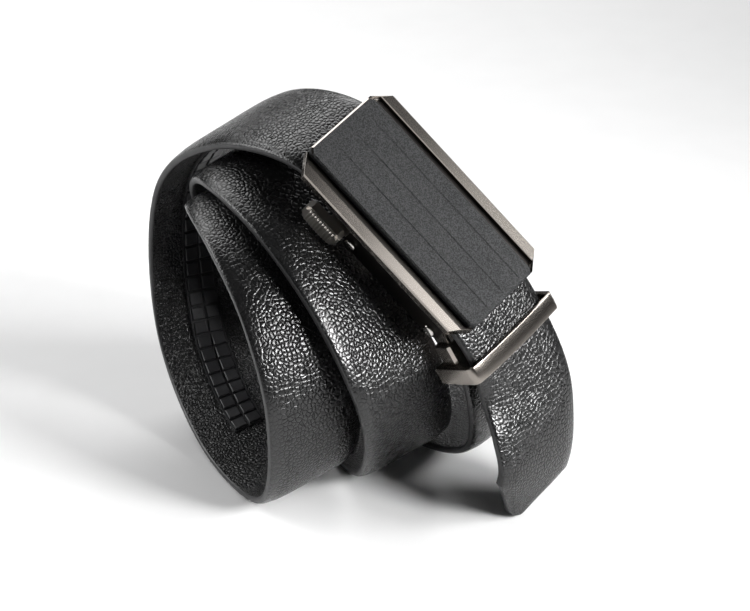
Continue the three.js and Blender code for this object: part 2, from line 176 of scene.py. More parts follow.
# The buckle's place on the coil and how it is turned; the clamp hangs on a pin below it
buckle_across, buckle_forward, buckle_up = -0.665, 0.43, 0.69
buckle_heading, buckle_dip, buckle_roll = -43, 41, 22
plate_length = 75.5 * mm
inlet_drop = 3.5 * mm
channel_drop = 0.4 * mm
outlet_inset = 8 * mm
pin_depth = 7 * mm
lever_pin_along = -7.6 * mm
clamp_pin_along = 28.8 * mm
clamp_fold = 25
clamp_start = 7 * mm
clamp_length = 12.5 * mm
clamp_wall = 1.3 * mm
clamp_exit = 3 * mm
keeper_along = 17.4 * mm
tail_lift = 8.4 * mm
seat_gap = 0.3 * mm

buckle_turn = (
    Matrix.Rotation(math.radians(buckle_heading), 4, "Z")
    @ Matrix.Rotation(math.radians(buckle_dip), 4, "Y")
    @ Matrix.Rotation(math.radians(buckle_roll), 4, "X")
)
buckle_in_coil = Matrix.Translation((
    buckle_across * strap_width,
    -buckle_forward * coil_radius,
    coil_height + buckle_up * coil_radius,
)) @ buckle_turn

# The lever's hinge lies on its pin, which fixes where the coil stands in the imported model
hinge_in_coil = buckle_in_coil @ Vector((lever_pin_along, 0, -pin_depth))
coil_stand = Vector(frame["joints"][0]["pos_m"]) - hinge_in_coil
buckle_matrix = Matrix.Translation(coil_stand) @ buckle_in_coil
clamp_matrix = buckle_matrix @ Matrix.Translation((clamp_pin_along, 0, -pin_depth)) @ Matrix.Rotation(
    math.radians(clamp_fold), 4, "Y"
)


def straight_station(matrix, x, z):
    width_axis = np.array(matrix.to_3x3() @ Vector((0, 1, 0)))
    centre = np.array(matrix @ Vector((x, 0, z)))
    return centre - width_axis * strap_width / 2, centre + width_axis * strap_width / 2


def bent_stations(rows):
    turn, reach, across, yaw, lift = np.array(rows, float).T
    turn, yaw, lift = np.radians(turn), np.radians(yaw), np.radians(lift)
    centres = np.stack([
        across * strap_width,
        -reach * coil_radius * np.sin(turn),
        coil_height + reach * coil_radius * np.cos(turn),
    ], 1) + np.array(coil_stand)
    last = len(rows) - 1
    stations = []
    for i, centre in enumerate(centres):
        along = centres[min(i + 1, last)] - centres[max(i - 1, 0)]
        along /= np.linalg.norm(along)
        lean = np.array([
            math.cos(lift[i]) * math.cos(yaw[i]), math.cos(lift[i]) * math.sin(yaw[i]), math.sin(lift[i])
        ])
        lean -= along * lean.dot(along)
        lean /= np.linalg.norm(lean)
        stations.append((centre - lean * strap_width / 2, centre + lean * strap_width / 2))
    return stations


stations = [
    straight_station(clamp_matrix, clamp_start + clamp_wall + seat_gap, 0),
    straight_station(clamp_matrix, clamp_start + clamp_length - clamp_exit, 0),
    straight_station(clamp_matrix, clamp_start + clamp_length + clamp_exit, 0),
    *bent_stations(coil_rows),
    straight_station(buckle_matrix, -plate_length / 2, -inlet_drop),
    straight_station(buckle_matrix, -plate_length / 4, -channel_drop),
    straight_station(buckle_matrix, plate_length / 8, -channel_drop),
    straight_station(buckle_matrix, plate_length / 2 - outlet_inset, -channel_drop),
    straight_station(clamp_matrix, keeper_along, tail_lift),
    *bent_stations(tail_rows),
]
near_points = np.array([near for near, far in stations])
far_points = np.array([far for near, far in stations])


def smooth_curve(points, place):
    """Points at places counted in stations along a smooth curve through the stations."""
    padded = np.vstack([2 * points[0] - points[1], points, 2 * points[-1] - points[-2]])
    start = np.minimum(place.astype(int), len(points) - 2)
    part = (place - start)[:, None]
    p0, p1, p2, p3 = (padded[start + k] for k in range(4))
    gap = [np.sqrt(np.linalg.norm(b - a, axis=1))[:, None] for a, b in ((p0, p1), (p1, p2), (p2, p3))]
    leave = ((p1 - p0) / gap[0] - (p2 - p0) / (gap[0] + gap[1]) + (p2 - p1) / gap[1]) * gap[1]
    arrive = ((p2 - p1) / gap[1] - (p3 - p1) / (gap[1] + gap[2]) + (p3 - p2) / gap[2]) * gap[1]
    square, cube = part ** 2, part ** 3
    return (
        p1 + leave * part
        + (3 * (p2 - p1) - 2 * leave - arrive) * square
        + (2 * (p1 - p2) + leave + arrive) * cube
    )


fine_place = np.linspace(0, len(stations) - 1, (len(stations) - 1) * 60 + 1)
fine_centre = (smooth_curve(near_points, fine_place) + smooth_curve(far_points, fine_place)) / 2
fine_run = np.concatenate([[0], np.cumsum(np.linalg.norm(np.diff(fine_centre, axis=0), axis=1))])
strap_length = fine_run[-1]


def strap_frames(runs):
    """Centre, width direction and outward direction of the strap at these lengths from the clamp."""
    place = np.interp(runs, fine_run, fine_place)
    step = 1e-3
    ahead = np.minimum(place + step, len(stations) - 1)
    behind = np.maximum(place - step, 0)
    near, far = smooth_curve(near_points, place), smooth_curve(far_points, place)
    width_axis = far - near
    width_axis /= np.linalg.norm(width_axis, axis=1)[:, None]
    along = (
        smooth_curve(near_points, ahead) + smooth_curve(far_points, ahead)
        - smooth_curve(near_points, behind) - smooth_curve(far_points, behind)
    )
    along -= width_axis * (along * width_axis).sum(1)[:, None]
    along /= np.linalg.norm(along, axis=1)[:, None]
    return (near + far) / 2, width_axis, np.cross(along, width_axis)


# Half of the strap's section from the middle of the face round to the middle of the lining: share of half
# the width, share of the thickness
half_section = np.array([
    (0.00, 0.500), (0.15, 0.500), (0.30, 0.498), (0.42, 0.492), (0.54, 0.478), (0.64, 0.458),
    (0.71, 0.432), (0.77, 0.395), (0.82, 0.352), (0.87, 0.308), (0.915, 0.262), (0.95, 0.215),
    (0.978, 0.155), (0.994, 0.085), (1.00, 0.00), (1.00, -0.14), (1.00, -0.28), (0.996, -0.37),
    (0.984, -0.44), (0.96, -0.482), (0.92, -0.497), (0.84, -0.50), (0.70, -0.50), (0.50, -0.50),
    (0.25, -0.50),
])
face_columns = 13
edge_columns = 6


def link_mesh(name, verts, faces, materials, indices=None, smooth=True):
    mesh = bpy.data.meshes.new(name)
    mesh.from_pydata([tuple(v) for v in verts], [], [tuple(int(i) for i in f) for f in faces])
    for material in materials:
        mesh.materials.append(material)
    if indices is not None:
        mesh.polygons.foreach_set("material_index", np.array(indices, np.int32))
    mesh.polygons.foreach_set("use_smooth", np.full(len(mesh.polygons), smooth))
    mesh.update()
    piece = bpy.data.objects.new(name, mesh)
    scene.collection.objects.link(piece)
    return piece


def maths(tree, operation, *values):
    return node(tree, "Math", dict(enumerate(values)), operation=operation).outputs[0]


def ramp(tree, value, low, high, to_low=0, to_high=1, kind="LINEAR"):
    inputs = {"Value": value, "From Min": low, "From Max": high, "To Min": to_low, "To Max": to_high}
    return node(tree, "MapRange", inputs, interpolation_type=kind).outputs["Result"]


def relief(tree, shader, height, depth, strength=1):
    """Raises and sinks the surface in its shading, by a height that changes over it."""
    bump = node(tree, "Bump", {"Strength": strength, "Distance": depth, "Height": height})
    feed(tree, shader.inputs["Normal"], bump.outputs["Normal"])


def new_group(name, numbers, outputs):
    """A node group that takes a place and these numbers, with its inputs and outputs."""
    group = bpy.data.node_groups.new(name, "ShaderNodeTree")
    group.interface.new_socket("Place", in_out="INPUT", socket_type="NodeSocketVector")
    for label, value in numbers.items():
        socket = group.interface.new_socket(label, in_out="INPUT", socket_type="NodeSocketFloat")
        socket.default_value = value
    for label in outputs:
        group.interface.new_socket(label, in_out="OUTPUT", socket_type="NodeSocketFloat")
    given = group.nodes.new("NodeGroupInput")
    out = group.nodes.new("NodeGroupOutput")
    return group, given.outputs, out.inputs


# Grain: puffed pebbles parted by creases, as pressed into cowhide, with a tenth of a finer grain on them, and
# a crease mask for painted shade
def pebble_grain_group():
    numbers = {"Pebble Size": 0.002, "Crease Width": 0.2, "Waver": 0.3}
    group, given, out = new_group("pebble grain", numbers, ("Height", "Crease", "Pebble Tone"))
    per_pebble = maths(group, "DIVIDE", 1, given["Pebble Size"])
    scaled = node(group, "VectorMath", {0: given["Place"], "Scale": per_pebble}, operation="SCALE").outputs[0]
    cloud = node(group, "TexNoise", {"Vector": scaled, "Scale": 0.8, "Detail": 3}, noise_dimensions="2D")
    centred = node(group, "VectorMath", {0: cloud.outputs["Color"], 1: (0.5, 0.5, 0.5)}, operation="SUBTRACT")
    pushed = node(group, "VectorMath", {0: centred.outputs[0], "Scale": given["Waver"]}, operation="SCALE")
    moved = node(group, "VectorMath", {0: scaled, 1: pushed.outputs[0]}, operation="ADD").outputs[0]
    heights = []
    distances = []
    for scale, share in ((1.0, 1.0), (2.3, 0.10)):
        cell = node(
            group, "TexVoronoi", {"Vector": moved, "Scale": scale},
            voronoi_dimensions="2D", feature="DISTANCE_TO_EDGE",
        )
        distances.append(cell.outputs["Distance"])
        inward = ramp(group, cell.outputs["Distance"], 0, 0.45)
        puff = maths(group, "MULTIPLY", inward, maths(group, "SUBTRACT", 2, inward))
        heights.append(maths(group, "MULTIPLY", puff, share))
    feed(group, out["Height"], maths(group, "ADD", *heights))
    # Mask of the creases, where the leather gets painted shade
    crease_shade = ramp(group, distances[0], 0, given["Crease Width"], 1, 0, "SMOOTHSTEP")
    feed(group, out["Crease"], crease_shade)
    tone = node(group, "TexVoronoi", {"Vector": moved, "Scale": 1}, voronoi_dimensions="2D")
    grey = node(group, "SeparateColor", {"Color": tone.outputs["Color"]})
    feed(group, out["Pebble Tone"], grey.outputs["Red"])
    return group


# Handling: broad soft patches where hands have polished or dulled a surface
def handling_group():
    numbers = {"Patch Size": 0.02, "Least": 0.0, "Most": 1.0}
    group, given, out = new_group("handling", numbers, ("Patches",))
    per_patch = maths(group, "DIVIDE", 1, given["Patch Size"])
    cloud = node(group, "TexNoise", {"Vector": given["Place"], "Scale": per_patch, "Detail": 4})
    feed(group, out["Patches"], ramp(group, cloud.outputs["Fac"], 0.3, 0.7, given["Least"], given["Most"]))
    return group


pebble_grain = pebble_grain_group()
handling = handling_group()


def handled(tree, place, size, least=0.0, most=1.0):
    inputs = {"Place": place, "Patch Size": size, "Least": least, "Most": most}
    return node(tree, "Group", inputs, node_tree=handling).outputs["Patches"]


# Puckers run across the smooth edges: how many a metre along and across the strap, and their share of the
# depth
pucker_stretch = (620, 90, 1)
pucker_height = 1.6


def along_and_across(tree):
    return node(tree, "UVMap", {}, uv_map="along and across").outputs["UV"]


def leather_material(name, pebble, crease_width, waver, depth, roughness, fade_from, fade_to, edge_share):
    """Pebbled leather whose grain fades to edge_share between two distances from the strap's middle line."""
    material, tree, shader = new_material(name)
    place = along_and_across(tree)
    grain = node(
        tree, "Group",
        {"Place": place, "Pebble Size": pebble, "Crease Width": crease_width, "Waver": waver},
        node_tree=pebble_grain,
    ).outputs
    side = node(tree, "SeparateXYZ", {"Vector": place}).outputs["Y"]
    grained = ramp(tree, maths(tree, "ABSOLUTE", side), fade_from, fade_to, 1, edge_share, "SMOOTHSTEP")
    pebbles = maths(tree, "MULTIPLY", grain["Height"], grained)
    stretched = node(tree, "VectorMath", {0: place, 1: pucker_stretch}, operation="MULTIPLY").outputs[0]
    puckers = node(tree, "TexNoise", {"Vector": stretched, "Scale": 1, "Detail": 2}, noise_dimensions="2D")
    puckered = maths(tree, "MULTIPLY", puckers.outputs["Fac"], maths(tree, "SUBTRACT", 1, grained))
    relief(tree, shader, maths(tree, "MULTIPLY_ADD", puckered, pucker_height, pebbles), depth)
    # Painted shade in the creases: the hide is made darker and less reflective there
    crease_shade = maths(tree, "MULTIPLY", grain["Crease"], grained)
    hide_colour_with_painted_crease_shade = colour_between(tree, crease_shade, (0.007, 0.007, 0.0072), (0.0015, 0.0015, 0.0015))
    feed(tree, shader.inputs["Base Color"], hide_colour_with_painted_crease_shade)
    patches = maths(tree, "MULTIPLY", handled(tree, place, 18 * mm), 0.5)
    dulled = maths(tree, "MULTIPLY_ADD", grain["Pebble Tone"], 0.5, patches)
    feed(tree, shader.inputs["Roughness"], ramp(tree, dulled, 0, 1, roughness - 0.05, roughness + 0.07))
    feed(tree, shader.inputs["Specular IOR Level"], ramp(tree, crease_shade, 0, 1, 0.6, 0.2))
    return material


strap_face = leather_material(
    "strap face leather", 1.45 * mm, 0.13, 0.5, 0.145 * mm, 0.25, 12.5 * mm, 16 * mm, 0.4
)
strap_lining = leather_material("strap lining", 1.2 * mm, 0.16, 1.1, 0.30 * mm, 0.30, 60 * mm, 70 * mm, 1.0)

edge_paint, tree, shader = new_material("edge paint")
shader.inputs["Base Color"].default_value = (0.022, 0.022, 0.023, 1)
place = along_and_across(tree)
feed(tree, shader.inputs["Roughness"], handled(tree, place, 6 * mm, 0.32, 0.46))
brushed_on = node(tree, "TexNoise", {"Vector": place, "Scale": 700, "Detail": 3})
relief(tree, shader, brushed_on.outputs["Fac"], 0.08 * mm, 0.6)

section = np.vstack([half_section, [(0, -0.5)], half_section[:0:-1] * (-1, 1)])
columns = len(section)
ring_count = int(strap_length / ring_step)
runs = np.concatenate([
    np.linspace(0, strap_length - point_length, ring_count, endpoint=False),
    strap_length - point_length * np.linspace(1, 0, point_rings) ** 1.2,
])
centre, width_axis, outward = strap_frames(runs)
left = strap_length - runs
full = np.minimum(1, left / point_length)
half_width = (point_width + (strap_width - point_width) * full) / 2
rounding = np.sqrt(1 - (1 - np.clip(left / tip_round, 0, 1)) ** 2)
half_width = half_width * (0.75 + 0.25 * rounding)
thickness = strap_thickness * (0.7 + 0.3 * rounding)
points = (
    centre[:, None]
    + width_axis[:, None] * (section[None, :, :1] * half_width[:, None, None])
    + outward[:, None] * (section[None, :, 1:] * thickness[:, None, None])
)
rings = len(runs)
faces, indices, corners = [], [], []
girth = np.concatenate([[0], np.cumsum(np.linalg.norm(
    np.diff(np.vstack([section, section[:1]]) * (strap_width / 2, strap_thickness), axis=0), axis=1
))])
girth = np.where(girth > girth[-1] / 2 + 1e-6, girth - girth[-1], girth)
half_columns = len(half_section)
for i in range(rings - 1):
    for j in range(columns):
        k = (j + 1) % columns
        faces.append((i * columns + j, i * columns + k, (i + 1) * columns + k, (i + 1) * columns + j))
        side = min(j, columns - 1 - j)
        indices.append(0 if side < face_columns else 1 if side < face_columns + edge_columns else 2)
        a = girth[j]
        b = girth[j + 1] if j + 1 < columns else 0.0
        if j == half_columns:
            a = -abs(a)
        corners += [(runs[i], a), (runs[i], b), (runs[i + 1], b), (runs[i + 1], a)]
for cap in (0, rings - 1):
    ring = [cap * columns + j for j in range(columns)]
    faces.append(ring if cap == 0 else ring[::-1])
    indices.append(1)
    order = range(columns) if cap == 0 else range(columns)[::-1]
    corners += [tuple(section[j] * (strap_width / 2, strap_thickness)) for j in order]
strap = link_mesh(
    "leather_strap", points.reshape(-1, 3), faces, [strap_face, edge_paint, strap_lining], indices
)
layer = strap.data.uv_layers.new(name="along and across")
layer.data.foreach_set("uv", np.array(corners, np.float32).ravel())
if strap.data.polygons[0].normal.dot(Vector(outward[0])) < 0:
    strap.data.flip_normals()
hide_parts("strap")
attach(strap, "belt")


# Ratchet track
# A moulded nylon strip glued along the inner face of the strap's free end: two columns of ramped
# teeth with a groove between them and a thin lip on each side. The lever's pawl drops in behind a tooth.

track_width = 11 * mm
track_base = 0.5 * mm
tooth_height = 0.9 * mm
tooth_pitch = 5.6 * mm
tooth_land = 4.7 * mm
track_end_margin = 4 * mm
lip_width = 0.5 * mm
lip_height = 0.35 * mm
groove_width = 0.8 * mm
track_from_turn = 905

nylon, tree, shader = new_material("track nylon")
place = node(tree, "TexCoord", {}).outputs["Object"]
patches = handled(tree, place, 8 * mm, 0.34, 0.52)
feed(tree, shader.inputs["Roughness"], patches)
nylon_colour = colour_between(tree, patches, (0.010, 0.010, 0.011), (0.020, 0.020, 0.022))
feed(tree, shader.inputs["Base Color"], nylon_colour)
moulded = node(tree, "TexNoise", {"Vector": place, "Scale": 2500})
relief(tree, shader, moulded.outputs["Fac"], 0.03 * mm, 0.5)

first_row = next(i for i, row in enumerate(coil_rows) if row[0] > track_from_turn)
track_start = np.interp(first_row + 3, fine_place, fine_run)
track_seat = -strap_thickness / 2 - seat_gap / 3
teeth = int((strap_length - point_length - track_end_margin - track_start) / tooth_pitch)


def on_track(runs, across, height):
    """Points on the strap's inner face, so far from its middle line and so high above the track's seat."""
    centre, width_axis, outward = strap_frames(np.asarray(runs, float))
    inward = track_seat - np.asarray(height)
    return centre + width_axis * np.asarray(across)[:, None] + outward * inward[:, None]


half_track = track_width / 2
strip_outline = [
    (-half_track, 0), (half_track, 0), (half_track, track_base + lip_height),
    (half_track - lip_width, track_base + lip_height), (half_track - lip_width * 1.3, track_base),
    (-half_track + lip_width * 1.3, track_base), (-half_track + lip_width, track_base + lip_height),
    (-half_track, track_base + lip_height),
]
strip_runs = np.arange(0, teeth * 4 + 1) * tooth_pitch / 4 + track_start
verts, faces = [], []
for across, height in strip_outline:
    verts.append(on_track(strip_runs, np.full(len(strip_runs), across), np.full(len(strip_runs), height)))
verts = list(np.stack(verts, 1).reshape(-1, 3))
count = len(strip_outline)
for i in range(len(strip_runs) - 1):
    for j in range(count):
        k = (j + 1) % count
        faces.append((i * count + j, i * count + k, (i + 1) * count + k, (i + 1) * count + j))
faces.append(tuple(range(count))[::-1])
faces.append(tuple((len(strip_runs) - 1) * count + j for j in range(count)))
# Levels of a tooth: how far its sides are drawn in, share of its height at its front and at its back
block_levels = [(0.0, 0.0, 0.0), (0.0, 0.72, 0.52), (0.28 * mm, 1.0, 0.70)]
block_lo = groove_width / 2
block_hi = half_track - lip_width * 1.5
for tooth in range(teeth):
    run = track_start + tooth * tooth_pitch + (tooth_pitch - tooth_land) / 2
    for side in (-1, 1):
        base = len(verts)
        for inset, front, back in block_levels:
            across = [side * (block_lo + inset), side * (block_hi - inset)]
            along = [run + inset, run + tooth_land - inset]
            for r, a, share in (
                (along[0], across[0], front), (along[0], across[1], front),
                (along[1], across[1], back), (along[1], across[0], back),
            ):
                verts.append(on_track([r], [a], [track_base + tooth_height * share])[0])
        for level in (0, 4):
            for j in range(4):
                k = (j + 1) % 4
                quad = (base + level + j, base + level + k, base + level + 4 + k, base + level + 4 + j)
                faces.append(quad if side > 0 else quad[::-1])
        top = (base + 8, base + 9, base + 10, base + 11)
        faces.append(top if side > 0 else top[::-1])
track = link_mesh("track_strip", verts, faces, [nylon], smooth=False)
bm = bmesh.new()
bm.from_mesh(track.data)
bmesh.ops.recalc_face_normals(bm, faces=bm.faces)
bm.to_mesh(track.data)
bm.free()
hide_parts("ratchet_track")
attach(track, "belt")


# Face plate
# A zinc plate, sand-blasted and plated dark grey, with fine lines engraved along it and a thin chamfer
# round its face, polished bright at the inlet end.

plate_width = 31 * mm
plate_thickness = 2.6 * mm
plate_corner = 1.6 * mm
plate_chamfer = 0.5 * mm
rail_reach = 6.8 * mm
tray_thickness = 1.3 * mm
frame_bottom = strap_thickness / 2 + seat_gap
tray_top = frame_bottom + tray_thickness
plate_bottom = tray_top + seat_gap
line_spacing = 8.05 * mm
line_middle = 1.5 * mm
line_half = 0.2 * mm
line_centre = 2.5 * mm
line_margin = 4 * mm


def cut_rectangle(half_long, half_short, cut_along, cut_across):
    return [
        (-half_long, -half_short + cut_across), (-half_long + cut_along, -half_short),
        (half_long - cut_along, -half_short), (half_long, -half_short + cut_across),
        (half_long, half_short - cut_across), (half_long - cut_along, half_short),
        (-half_long + cut_along, half_short), (-half_long, half_short - cut_across),
    ]


def set_piece(name, bm, matrix, materials, smooth=False):
    """Sets a piece into the model, and keeps each point's place in its own frame for its material."""
    bmesh.ops.recalc_face_normals(bm, faces=bm.faces)
    mesh = bpy.data.meshes.new(name)
    bm.to_mesh(mesh)
    bm.free()
    own = mesh.attributes.new("own place", "FLOAT_VECTOR", "POINT")
    places = np.zeros(len(mesh.vertices) * 3, np.float32)
    mesh.vertices.foreach_get("co", places)
    own.data.foreach_set("vector", places)
    mesh.transform(matrix)
    for material in materials:
        mesh.materials.append(material)
    mesh.polygons.foreach_set("use_smooth", np.full(len(mesh.polygons), smooth))
    mesh.update()
    piece = bpy.data.objects.new(name, mesh)
    scene.collection.objects.link(piece)
    return piece


def stack(bm, levels, material=0):
    """A closed form through outlines of equally many points, each at its own height."""
    rings = [[bm.verts.new((x, y, z)) for x, y, z in level] for level in levels]
    count = len(rings[0])
    made = []
    for low, high in zip(rings, rings[1:]):
        for j in range(count):
            k = (j + 1) % count
            made.append(bm.faces.new((low[j], low[k], high[k], high[j])))
    made.append(bm.faces.new(rings[0][::-1]))
    made.append(bm.faces.new(rings[-1]))
    for face in made:
        face.material_index = material
    return made


def at_height(outline, z):
    return [(x, y, z) for x, y in outline]


def own_place(tree):
    return node(tree, "Attribute", {}, attribute_name="own place").outputs["Vector"]


def blasted_metal():
    """Dark plating with a fine light speckle, and engraved lines darkened by painted shade that grows fainter
    towards the inlet.
    """
    material, tree, shader = new_material("blasted plate")
    place = own_place(tree)
    speckle = node(tree, "TexNoise", {"Vector": place, "Scale": 2600, "Detail": 2})
    contrast = ramp(tree, speckle.outputs["Fac"], 0.40, 0.62)
    grain = colour_between(tree, contrast, (0.006, 0.006, 0.0065), (0.032, 0.033, 0.034))
    split = node(tree, "SeparateXYZ", {"Vector": place}).outputs
    shifted = maths(tree, "SUBTRACT", split["Y"], line_middle)
    away = maths(tree, "PINGPONG", shifted, line_spacing / 2)
    line = ramp(tree, away, 0, line_half, 1, 0)
    in_width = maths(tree, "COMPARE", shifted, 0, line_spacing * 1.25)
    in_length = maths(tree, "COMPARE", split["X"], line_centre, plate_length / 2 - line_margin)
    cut = maths(tree, "MULTIPLY", maths(tree, "MULTIPLY", in_width, in_length), line)
    # Painted shade in the engraved lines, strongest at the outlet and fading towards the inlet
    fainter = ramp(tree, split["X"], -plate_length / 2, plate_length / 4, 0.2)
    painted_groove_shade = maths(tree, "MULTIPLY", cut, fainter)
    feed(tree, shader.inputs["Base Color"], colour_between(tree, painted_groove_shade, grain, (0.003, 0.003, 0.003)))
    shader.inputs["Metallic"].default_value = 0.25
    shader.inputs["Specular IOR Level"].default_value = 0.25
    feed(tree, shader.inputs["Roughness"], handled(tree, place, 15 * mm, 0.48, 0.58))
    relief(tree, shader, maths(tree, "MULTIPLY_ADD", cut, -4, contrast), 0.03 * mm, 0.7)
    return material


# Polishing lines: how many a metre along the buckle, across it and in its height
polish_stretch = (20, 300, 300)


def polished_metal(name, colour, roughness):
    """Polished plating over zinc, with faint polishing lines along the buckle and handled patches."""
    material, tree, shader = new_material(name)
    shader.inputs["Metallic"].default_value = 1
    place = own_place(tree)
    feed(tree, shader.inputs["Roughness"], handled(tree, place, 12 * mm, roughness * 0.93, roughness * 1.07))
    stretched = node(tree, "VectorMath", {0: place, 1: polish_stretch}, operation="MULTIPLY").outputs[0]
    lines = node(tree, "TexNoise", {"Vector": stretched, "Scale": 1, "Detail": 3})
    darker = [c * 0.97 for c in colour]
    feed(tree, shader.inputs["Base Color"], colour_between(tree, lines.outputs["Fac"], darker, colour))
    return material


gunmetal = polished_metal("polished gunmetal", (0.36, 0.33, 0.30), 0.17)
satin_gunmetal = polished_metal("satin gunmetal", (0.28, 0.255, 0.23), 0.22)
dark_plating = polished_metal("dark plating", (0.055, 0.050, 0.046), 0.30)
bright_plating = polished_metal("bright plating", (0.62, 0.60, 0.57), 0.14)
lever_plating = polished_metal("satin lever plating", (0.55, 0.52, 0.48), 0.38)

half_plate, half_plate_width = plate_length / 2, plate_width / 2
bm = bmesh.new()
plate_outline = cut_rectangle(half_plate, half_plate_width, plate_corner, plate_corner)
plate_top_outline = cut_rectangle(
    half_plate - plate_chamfer, half_plate_width - plate_chamfer, plate_corner * 0.9, plate_corner * 0.9
)
plate_top = plate_bottom + plate_thickness
made = stack(bm, [
    at_height(plate_top_outline, plate_bottom),
    at_height(plate_outline, plate_bottom + plate_chamfer),
    at_height(plate_outline, plate_top - plate_chamfer),
    at_height(plate_top_outline, plate_top),
])
for face in made[16:24]:
    if face.calc_center_median().x < -half_plate + 2 * plate_corner:
        face.material_index = 1
face_plate = set_piece("blasted_face_plate", bm, buckle_matrix, [blasted_metal(), gunmetal])
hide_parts("face_plate")
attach(face_plate, "belt")


# Buckle frame
# A die-cast tray under the plate with a polished rail along each long side. The rails turn in at cut
# corners and end against the plate's short sides, with a dark slot between plate and rail.

rail_width = 4 * mm
rail_height = 3.2 * mm
frame_cut = 5 * mm
slot_inset = 0.3 * mm
half_frame = half_plate_width + rail_reach

# Rail section from the outside in: share of the rail's width, share of its height
rail_section = [
    (0.05, 0.0), (0.0, 0.08), (0.0, 0.80), (0.11, 0.95), (0.94, 1.0), (1.0, 0.92), (1.0, 0.0),
]


def rail(bm, side):
    outer = [
        (-half_plate, half_frame - rail_reach), (-half_plate + frame_cut, half_frame),
        (half_plate - frame_cut, half_frame), (half_plate, half_frame - rail_reach),
    ]
    inner = [
        (-half_plate + frame_cut * 0.14, half_plate_width + slot_inset),
        (-half_plate + frame_cut / 2, half_frame - rail_width),
        (half_plate - frame_cut / 2, half_frame - rail_width),
        (half_plate - frame_cut * 0.14, half_plate_width + slot_inset),
    ]
    levels = []
    for (ox, oy), (ix, iy) in zip(outer, inner):
        levels.append([
            (ox + (ix - ox) * across, side * (oy + (iy - oy) * across), frame_bottom + rail_height * up)
            for across, up in rail_section
        ])
    stack(bm, levels)


bm = bmesh.new()
rail(bm, 1)
rail(bm, -1)
creases = [e for e in bm.edges if e.calc_face_angle(0) > 0.25]
bmesh.ops.bevel(bm, geom=creases, offset=0.12 * mm, segments=2, affect="EDGES", clamp_overlap=True)
tray_outline = cut_rectangle(
    half_plate - slot_inset, half_frame - rail_width / 2, frame_cut, rail_reach * 0.7
)
stack(bm, [at_height(tray_outline, z) for z in (frame_bottom + 0.05 * mm, tray_top)], material=1)
buckle_frame = set_piece("railed_frame", bm, buckle_matrix, [gunmetal, dark_plating])
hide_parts("buckle_frame")
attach(buckle_frame, "belt")


# Housing
# Two cast side walls hang below the frame, joined by a floor near the outlet, and make the channel that
# the strap runs through. They carry the pins of the lever and the clamp.

wall_thickness = 1.6 * mm
housing_depth = 11.6 * mm
wall_start = -10.3 * mm
wall_end = 32.3 * mm
floor_start = 9 * mm
floor_end = 24 * mm
floor_thickness = 1.4 * mm
slide_gap = 0.5 * mm
wall_inside = strap_width / 2 + slide_gap
wall_outside = wall_inside + wall_thickness
wall_top = frame_bottom - seat_gap
wall_bottom = wall_top - housing_depth


def bevelled_box(bm, low, high, radius):
    verts = bmesh.ops.create_cube(bm, size=1)["verts"]
    size = Vector(high) - Vector(low)
    bmesh.ops.scale(bm, vec=size, verts=verts)
    bmesh.ops.translate(bm, vec=(Vector(high) + Vector(low)) / 2, verts=verts)
    edges = list(dict.fromkeys(e for v in verts for e in v.link_edges))
    bmesh.ops.bevel(bm, geom=edges, offset=radius, segments=2, affect="EDGES", clamp_overlap=True)


def slab(bm, outline, low, high, radius):
    """A flat plate whose outline lies in the buckle's length and height, from low to high across it."""
    rings = [[bm.verts.new((x, y, z)) for x, z in outline] for y in (low, high)]
    count = len(outline)
    for j in range(count):
        k = (j + 1) % count
        bm.faces.new((rings[0][j], rings[0][k], rings[1][k], rings[1][j]))
    ends = [bm.faces.new(rings[0][::-1]), bm.faces.new(rings[1])]
    edges = [e for face in ends for e in face.edges]
    bmesh.ops.bevel(bm, geom=edges, offset=radius, segments=2, affect="EDGES", clamp_overlap=True)


def arc(cx, cz, radius, start, stop, steps):
    return [
        (cx + radius * math.cos(math.radians(start + (stop - start) * i / steps)),
         cz + radius * math.sin(math.radians(start + (stop - start) * i / steps)))
        for i in range(steps + 1)
    ]


wall_corner = 3.2 * mm
wall_outline = [
    (wall_start, wall_top),
    *arc(wall_start + wall_corner, wall_bottom + wall_corner, wall_corner, 180, 270, 6),
    *arc(wall_end - wall_corner, wall_bottom + wall_corner, wall_corner, 270, 360, 6),
    (wall_end, wall_top),
]
bm = bmesh.new()
for side in (-1, 1):
    low, high = sorted((side * wall_inside, side * wall_outside))
    slab(bm, wall_outline, low, high, 0.25 * mm)
bevelled_box(
    bm, (floor_start, -wall_inside - wall_thickness / 2, wall_bottom),
    (floor_end, wall_inside + wall_thickness / 2, wall_bottom + floor_thickness), 0.3 * mm,
)
housing = set_piece("cast_housing", bm, buckle_matrix, [dark_plating])
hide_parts("housing")
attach(housing, "belt")


# Pins
# Two steel pins with low domed heads, pushed through the housing walls: one carries the release lever,
# the other the clamp.

pin_radius = 1.3 * mm
pin_head_radius = 2.1 * mm
pin_head_height = 1 * mm


